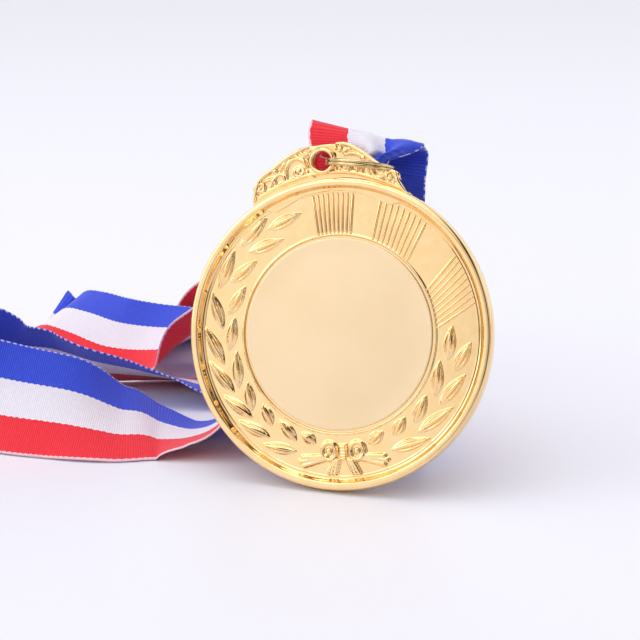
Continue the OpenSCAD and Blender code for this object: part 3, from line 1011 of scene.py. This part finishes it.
# Colour of the surroundings in front of the medal, from the left (0) to the right (1)
WORLD_STOPS = [(0.0, (0.22, 0.18, 0.16)), (0.13, (0.90, 0.89, 0.93)), (0.28, (1.0, 0.99, 1.0)),
               (0.38, (0.95, 0.94, 0.96)), (0.46, (0.60, 0.57, 0.58)), (0.56, (0.26, 0.22, 0.22)),
               (0.72, (0.07, 0.05, 0.05)), (0.80, (0.10, 0.08, 0.08)), (0.85, (0.95, 0.94, 0.96)),
               (0.89, (0.90, 0.88, 0.9)), (0.95, (0.07, 0.05, 0.05))]
# Their brightness from the horizon (0) to straight above (1)
OVERHEAD_STOPS = [(0.0, 1.0), (0.5, 1.0), (0.64, 0.25), (0.84, 0.2), (0.94, 1.0)]
BACK_COLOUR = (0.97, 0.965, 1.0, 1)
WORLD_STRENGTH = 1.14
SUN_STRENGTH, SUN_WIDTH, SUN_FROM = 1.25, math.radians(80), (-0.35, -0.5, 1)
SOFTBOX_AIM = (0, 0.02, 0)
TABLE_HALF = 6


def add_light(name, kind, power, colour, place, towards):
    """A light; a softbox also gets its size, and a sky panel its width, from the caller."""
    data = bpy.data.lights.new(name, kind)
    data.energy, data.color = power, colour
    light = bpy.data.objects.new(name, data)
    light.location = place
    light.rotation_euler = towards.to_track_quat("Z", "Y").to_euler()
    bpy.context.scene.collection.objects.link(light)
    return data


def softbox(name, place, size, power, colour):
    data = add_light(name, "AREA", power, colour, place, Vector(place) - Vector(SOFTBOX_AIM))
    data.shape, data.size, data.size_y = "RECTANGLE", size[0], size[1]


def colour_ramp(tree, stops):
    node = tree.nodes.new("ShaderNodeValToRGB")
    node.color_ramp.interpolation = "EASE"
    for place, colour in stops[1:-1]:
        node.color_ramp.elements.new(place).color = (*colour, 1)
    for element, (place, colour) in ((0, stops[0]), (-1, stops[-1])):
        node.color_ramp.elements[element].position = place
        node.color_ramp.elements[element].color = (*colour, 1)
    return node


def build_world():
    """A pale studio, bright behind and front left, dark to the front right for the relief to reflect."""
    world = bpy.data.worlds.new("studio")
    bpy.context.scene.world = world
    world.use_nodes = True
    tree = world.node_tree
    background = tree.nodes["Background"]
    coord = tree.nodes.new("ShaderNodeTexCoord")
    parts = tree.nodes.new("ShaderNodeSeparateXYZ")
    tree.links.new(coord.outputs["Generated"], parts.inputs[0])
    ramp, overhead = (colour_ramp(tree, stops) for stops in
                      (WORLD_STOPS, [(place, (level,) * 3) for place, level in OVERHEAD_STOPS]))
    sideways, forwards = (tree.nodes.new("ShaderNodeMapRange") for _ in range(2))
    for node, axis, limits in ((sideways, "X", (-1, 1, 0, 1)), (forwards, "Y", (0.15, -0.35, 0, 1))):
        for socket, number in zip(list(node.inputs)[1:], limits):
            socket.default_value = number
        tree.links.new(parts.outputs[axis], node.inputs[0])
    mix = tree.nodes.new("ShaderNodeMix")
    mix.data_type = "RGBA"
    mix.inputs[6].default_value = BACK_COLOUR
    tree.links.new(sideways.outputs[0], ramp.inputs[0])
    tree.links.new(forwards.outputs[0], mix.inputs[0])
    tree.links.new(ramp.outputs[0], mix.inputs[7])
    shade = tree.nodes.new("ShaderNodeMix")
    shade.data_type, shade.blend_type = "RGBA", "MULTIPLY"
    shade.inputs[0].default_value = 1
    tree.links.new(parts.outputs["Z"], overhead.inputs[0])
    tree.links.new(mix.outputs[2], shade.inputs[6])
    tree.links.new(overhead.outputs[0], shade.inputs[7])
    tree.links.new(shade.outputs[2], background.inputs["Color"])
    background.inputs["Strength"].default_value = WORLD_STRENGTH


def build_stage():
    corners = [(x * TABLE_HALF, y * TABLE_HALF) for x, y in ((-1, -1), (1, -1), (1, 1), (-1, 1))]
    floor = mesh_object("table", [(x, y, TABLE_Z) for x, y in corners], [(0, 1, 2, 3)], flat=True)
    floor.data.materials.append(floor_material())
    softbox("top_softbox", (0.05, 0.1, 1.2), (1.1, 1.1), 2.8, (1, 0.98, 1))
    softbox("left_softbox", (-0.8, -0.45, 0.45), (0.5, 0.8), 1.6, (1, 0.97, 1))
    sky = add_light("sky_panel", "SUN", SUN_STRENGTH, (1, 0.99, 1), (0, 0, 0), Vector(SUN_FROM))
    sky.angle = SUN_WIDTH
    build_world()
    scene = bpy.context.scene
    scene.view_settings.view_transform = "Standard"
    scene.view_settings.look = "None"


# ---- assembly ----

add_camera()
gold, satin, film = gold_material(), satin_material(), film_material()
build_casting(gold)
build_plate("front_plate", "front_insert", satin)
build_plate("rear_plate", "rear_insert", satin, rear=True)
for node in ("front_adhesive", "rear_adhesive"):
    frame["nodes"][node].data.materials.clear()
    frame["nodes"][node].data.materials.append(film)
build_split_ring(wire_material())
ribbon, ribbon_frame = build_ribbon(ribbon_material())
stitches = build_stitches(ribbon_frame, thread_material())
build_stage()
